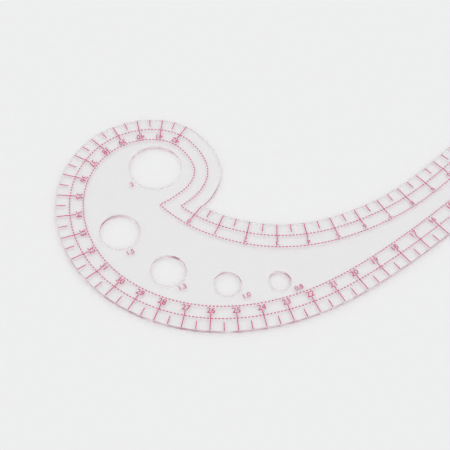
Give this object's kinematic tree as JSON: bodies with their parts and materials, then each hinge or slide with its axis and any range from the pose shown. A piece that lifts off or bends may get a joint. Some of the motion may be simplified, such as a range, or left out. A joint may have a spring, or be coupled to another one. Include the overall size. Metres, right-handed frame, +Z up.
{
  "type": "french curve",
  "caption": "Clear comma-shaped drawing curve with round compass holes and a printed scale along its convex and hollow edges.",
  "frame": {"origin": "middle of the plate's bounding rectangle, on the face that lies on the table", "axes": "+X along the longest extent, towards the tail's tip; +Z up, out of the printed face"},
  "size_m": [0.2716, 0.1076, 0.0016],
  "materials": {
    "clear_plastic": "clear polished sheet",
    "crimson_ink": "screen printed ink"
  },
  "bodies": {
    "root": {"plate": "clear_plastic", "convex_scale_print": "crimson_ink", "hollow_scale_print": "crimson_ink", "far_line_print": "crimson_ink"}
  },
  "joints": []
}
